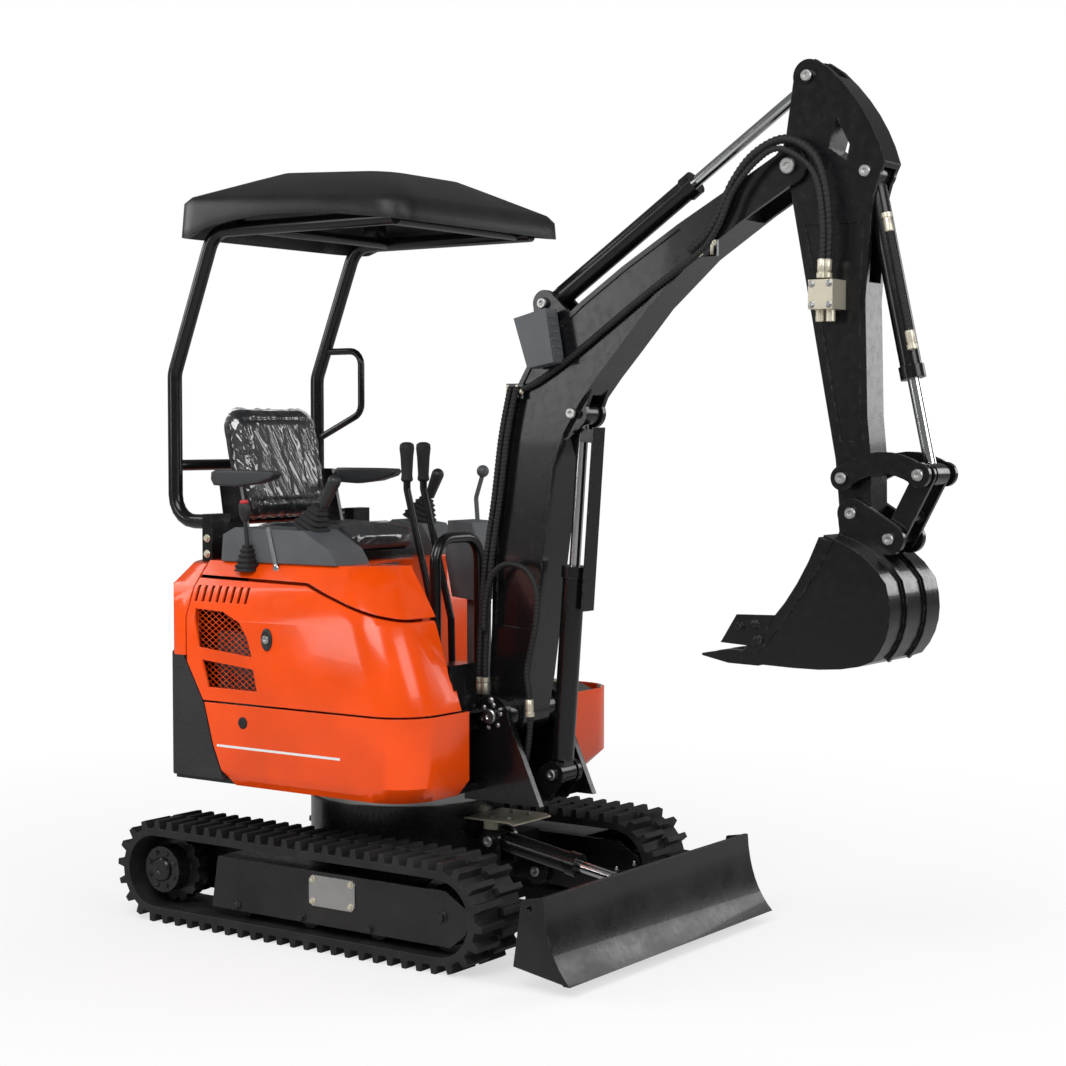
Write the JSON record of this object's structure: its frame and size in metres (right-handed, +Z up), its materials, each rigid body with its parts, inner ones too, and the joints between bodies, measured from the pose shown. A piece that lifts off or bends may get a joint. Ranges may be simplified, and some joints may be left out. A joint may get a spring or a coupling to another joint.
{
  "type": "mini excavator",
  "caption": "Compact rubber-tracked excavator with canopy, dozer blade, slewing house and a jointed digging arm whose boom, stick and bucket are moved by hydraulic cylinders.",
  "frame": {"origin": "on the ground under the slew axis, midway between the tracks", "axes": "+X forward over the blade, +Y to the left of the operator, +Z up"},
  "size_m": [2.4479, 1.08, 2.43],
  "materials": {
    "black_paint": "gloss black enamel",
    "black_plastic": "satin moulding",
    "cast_black": "grained black paint",
    "chrome": "polished hard chrome",
    "dark_plastic": "grained moulding",
    "engine_grey": "grey paint",
    "hose_rubber": "hose rubber",
    "orange_paint": "gloss orange-red enamel",
    "rubber": "matt black rubber",
    "seat_vinyl": "coated fabric under clear film",
    "steel": "machined steel",
    "zinc": "yellow zinc plate"
  },
  "bodies": {
    "undercarriage": {"carbody": "black_paint", "slew_ring": "steel", "track_frames": "black_paint", "tension_covers": "steel", "track_right": "rubber", "track_left": "rubber", "sprockets": "black_paint", "idlers": "black_paint", "rollers": "black_paint", "blade_guard": "zinc"},
    "blade": {"blade": "black_paint"},
    "blade_barrel": {"blade_barrel": "black_paint"},
    "blade_rod": {"blade_rod": "chrome"},
    "side_door": {"side_door": "orange_paint", "door_grille": "black_paint"},
    "boom": {"boom": "black_paint", "work_lamp": "black_plastic", "arm_hoses": "hose_rubber", "boom_hoses": "hose_rubber", "boom_clips": "black_paint"},
    "boom_barrel": {"boom_barrel": "black_paint"},
    "boom_rod": {"boom_rod": "chrome"},
    "stick_barrel": {"stick_barrel": "black_paint"},
    "stick_rod": {"stick_rod": "chrome"},
    "stick": {"stick": "black_paint", "valve_block": "zinc"},
    "bucket_barrel": {"bucket_barrel": "black_paint", "bucket_hose": "hose_rubber"},
    "bucket_rod": {"bucket_rod": "chrome"},
    "guide_links": {"guide_links": "black_paint"},
    "bucket_link": {"bucket_link": "black_paint"},
    "bucket": {"bucket": "black_paint"},
    "house": {"deck": "black_paint", "boom_bracket": "black_paint", "counterweight": "cast_black", "engine": "engine_grey", "engine_hood": "orange_paint", "skirts": "orange_paint", "floor_plate": "black_paint", "seat_pedestal": "orange_paint", "fairing_right": "orange_paint", "side_cover_left": "orange_paint", "front_box": "black_paint", "console_right": "dark_plastic", "console_left": "dark_plastic", "joysticks": "black_plastic", "control_column": "dark_plastic", "travel_levers": "black_paint", "seat_frame": "black_paint", "seat_cushion": "seat_vinyl", "seat_back": "seat_vinyl", "armrests": "seat_vinyl", "canopy_frame": "black_paint", "canopy_roof": "black_plastic", "guard_rail": "black_paint"}
  },
  "joints": [
    {"name": "slew", "type": "hinge", "parent": "undercarriage", "child": "house", "pos_m": [0, 0, 0.402], "axis": [0, 0, 1], "continuous": true},
    {"name": "boom_lift", "type": "hinge", "parent": "house", "child": "boom", "pos_m": [0.425, 0, 0.648], "axis": [0, -1, 0], "range_deg": [-60, 12], "deforming": ["boom_hoses"]},
    {"name": "stick_crowd", "type": "hinge", "parent": "boom", "child": "stick", "pos_m": [1.334, 0, 2.155], "axis": [0, 1, 0], "range_deg": [-90, 18], "deforming": ["arm_hoses"]},
    {"name": "bucket_curl", "type": "hinge", "parent": "stick", "child": "bucket", "pos_m": [1.522, 0, 1.251], "axis": [0, 1, 0], "range_deg": [-75, 65]},
    {"name": "blade_lift", "type": "hinge", "parent": "undercarriage", "child": "blade", "pos_m": [0.335, 0, 0.13], "axis": [0, -1, 0], "range_deg": [-15, 20]},
    {"name": "side_door_hinge", "type": "hinge", "parent": "house", "child": "side_door", "pos_m": [0.398, -0.3, 0.712], "axis": [0, 0, 1], "range_deg": [0, 60]},
    {"name": "boom_cylinder_swing", "type": "hinge", "parent": "house", "child": "boom_barrel", "pos_m": [0.572, 0, 0.481], "axis": [0, -1, 0], "range_deg": [-55.88, 11.98]},
    {"name": "boom_rod_slide", "type": "slide", "parent": "boom_barrel", "child": "boom_rod", "axis": [0.0734, 0, 0.9973], "range_m": [-0.2068, 0.043]},
    {"name": "stick_cylinder_swing", "type": "hinge", "parent": "boom", "child": "stick_barrel", "pos_m": [0.543, 0, 1.827], "axis": [0, 1, 0], "range_deg": [-4.93, 1.79]},
    {"name": "stick_rod_slide", "type": "slide", "parent": "stick_barrel", "child": "stick_rod", "axis": [0.8313, 0, 0.5558], "range_m": [-0.323, 0.0662]},
    {"name": "bucket_cylinder_swing", "type": "hinge", "parent": "stick", "child": "bucket_barrel", "pos_m": [1.544, 0, 2.129], "axis": [0, 1, 0], "range_deg": [-1.4, 1.34]},
    {"name": "bucket_rod_slide", "type": "slide", "parent": "bucket_barrel", "child": "bucket_rod", "axis": [0.2161, 0, -0.9764], "range_m": [-0.1758, 0.1526]},
    {"name": "blade_cylinder_swing", "type": "hinge", "parent": "undercarriage", "child": "blade_barrel", "pos_m": [0.348, 0, 0.264], "axis": [0, -1, 0], "range_deg": [-15.88, 20.84]},
    {"name": "blade_rod_slide", "type": "slide", "parent": "blade_barrel", "child": "blade_rod", "axis": [0.9863, 0, -0.1651], "range_m": [-0.0483, 0.0367]},
    {"name": "guide_link_swing", "type": "hinge", "parent": "stick", "child": "guide_links", "pos_m": [1.504, 0, 1.342], "axis": [0, 1, 0], "range_deg": [-53, 46]},
    {"name": "bucket_link_swing", "type": "hinge", "parent": "bucket", "child": "bucket_link", "pos_m": [1.629, 0, 1.187], "axis": [0, 1, 0], "range_deg": [-38, 43]}
  ],
  "couplings": [
    {"joint": "boom_cylinder_swing", "follows": "boom_lift", "ratio": 0.9147},
    {"joint": "boom_rod_slide", "follows": "boom_lift", "m_per_rad": 0.19561},
    {"joint": "stick_cylinder_swing", "follows": "stick_crowd", "ratio": 0.0437},
    {"joint": "stick_rod_slide", "follows": "stick_crowd", "m_per_rad": 0.20437},
    {"joint": "bucket_cylinder_swing", "follows": "bucket_curl", "ratio": 0.0053},
    {"joint": "bucket_rod_slide", "follows": "bucket_curl", "m_per_rad": 0.13276},
    {"joint": "blade_cylinder_swing", "follows": "blade_lift", "ratio": 0.9922},
    {"joint": "blade_rod_slide", "follows": "blade_lift", "m_per_rad": -0.13262},
    {"joint": "guide_link_swing", "follows": "bucket_curl", "ratio": 0.6864},
    {"joint": "bucket_link_swing", "follows": "bucket_curl", "ratio": -0.56}
  ]
}
